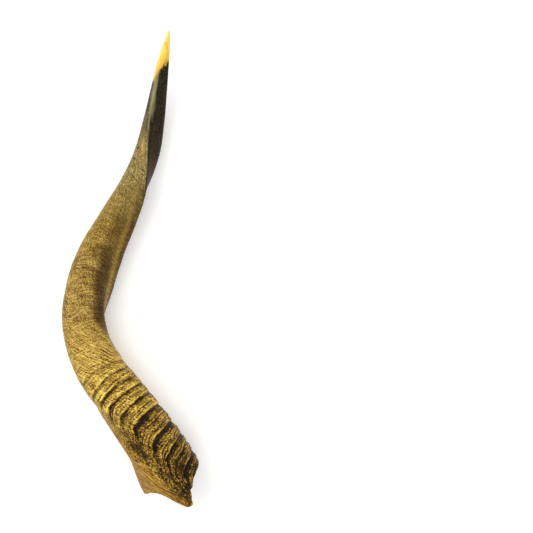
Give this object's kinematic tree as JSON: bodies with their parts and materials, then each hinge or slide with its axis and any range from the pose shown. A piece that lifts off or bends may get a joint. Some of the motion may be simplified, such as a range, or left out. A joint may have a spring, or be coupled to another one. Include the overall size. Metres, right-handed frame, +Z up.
{
  "type": "antelope horn",
  "caption": "Single spiral antelope horn: a tapering, keeled and ringed keratin sheath with a pale tip, hollow at its lower end, lying on its back.",
  "frame": {"origin": "middle of the horn's box, on the surface that it lies on", "axes": "+Y along the horn's length, from its hollow lower end to its tip; +Z up from the surface, towards the front of the horn; +X towards where the other horn of the pair would be"},
  "size_m": [0.165, 0.5647, 0.0833],
  "materials": {
    "keratin": "ringed horn, golden brown to nearly black, with a smooth ivory tip"
  },
  "bodies": {
    "root": {"horn": "keratin"}
  },
  "joints": []
}
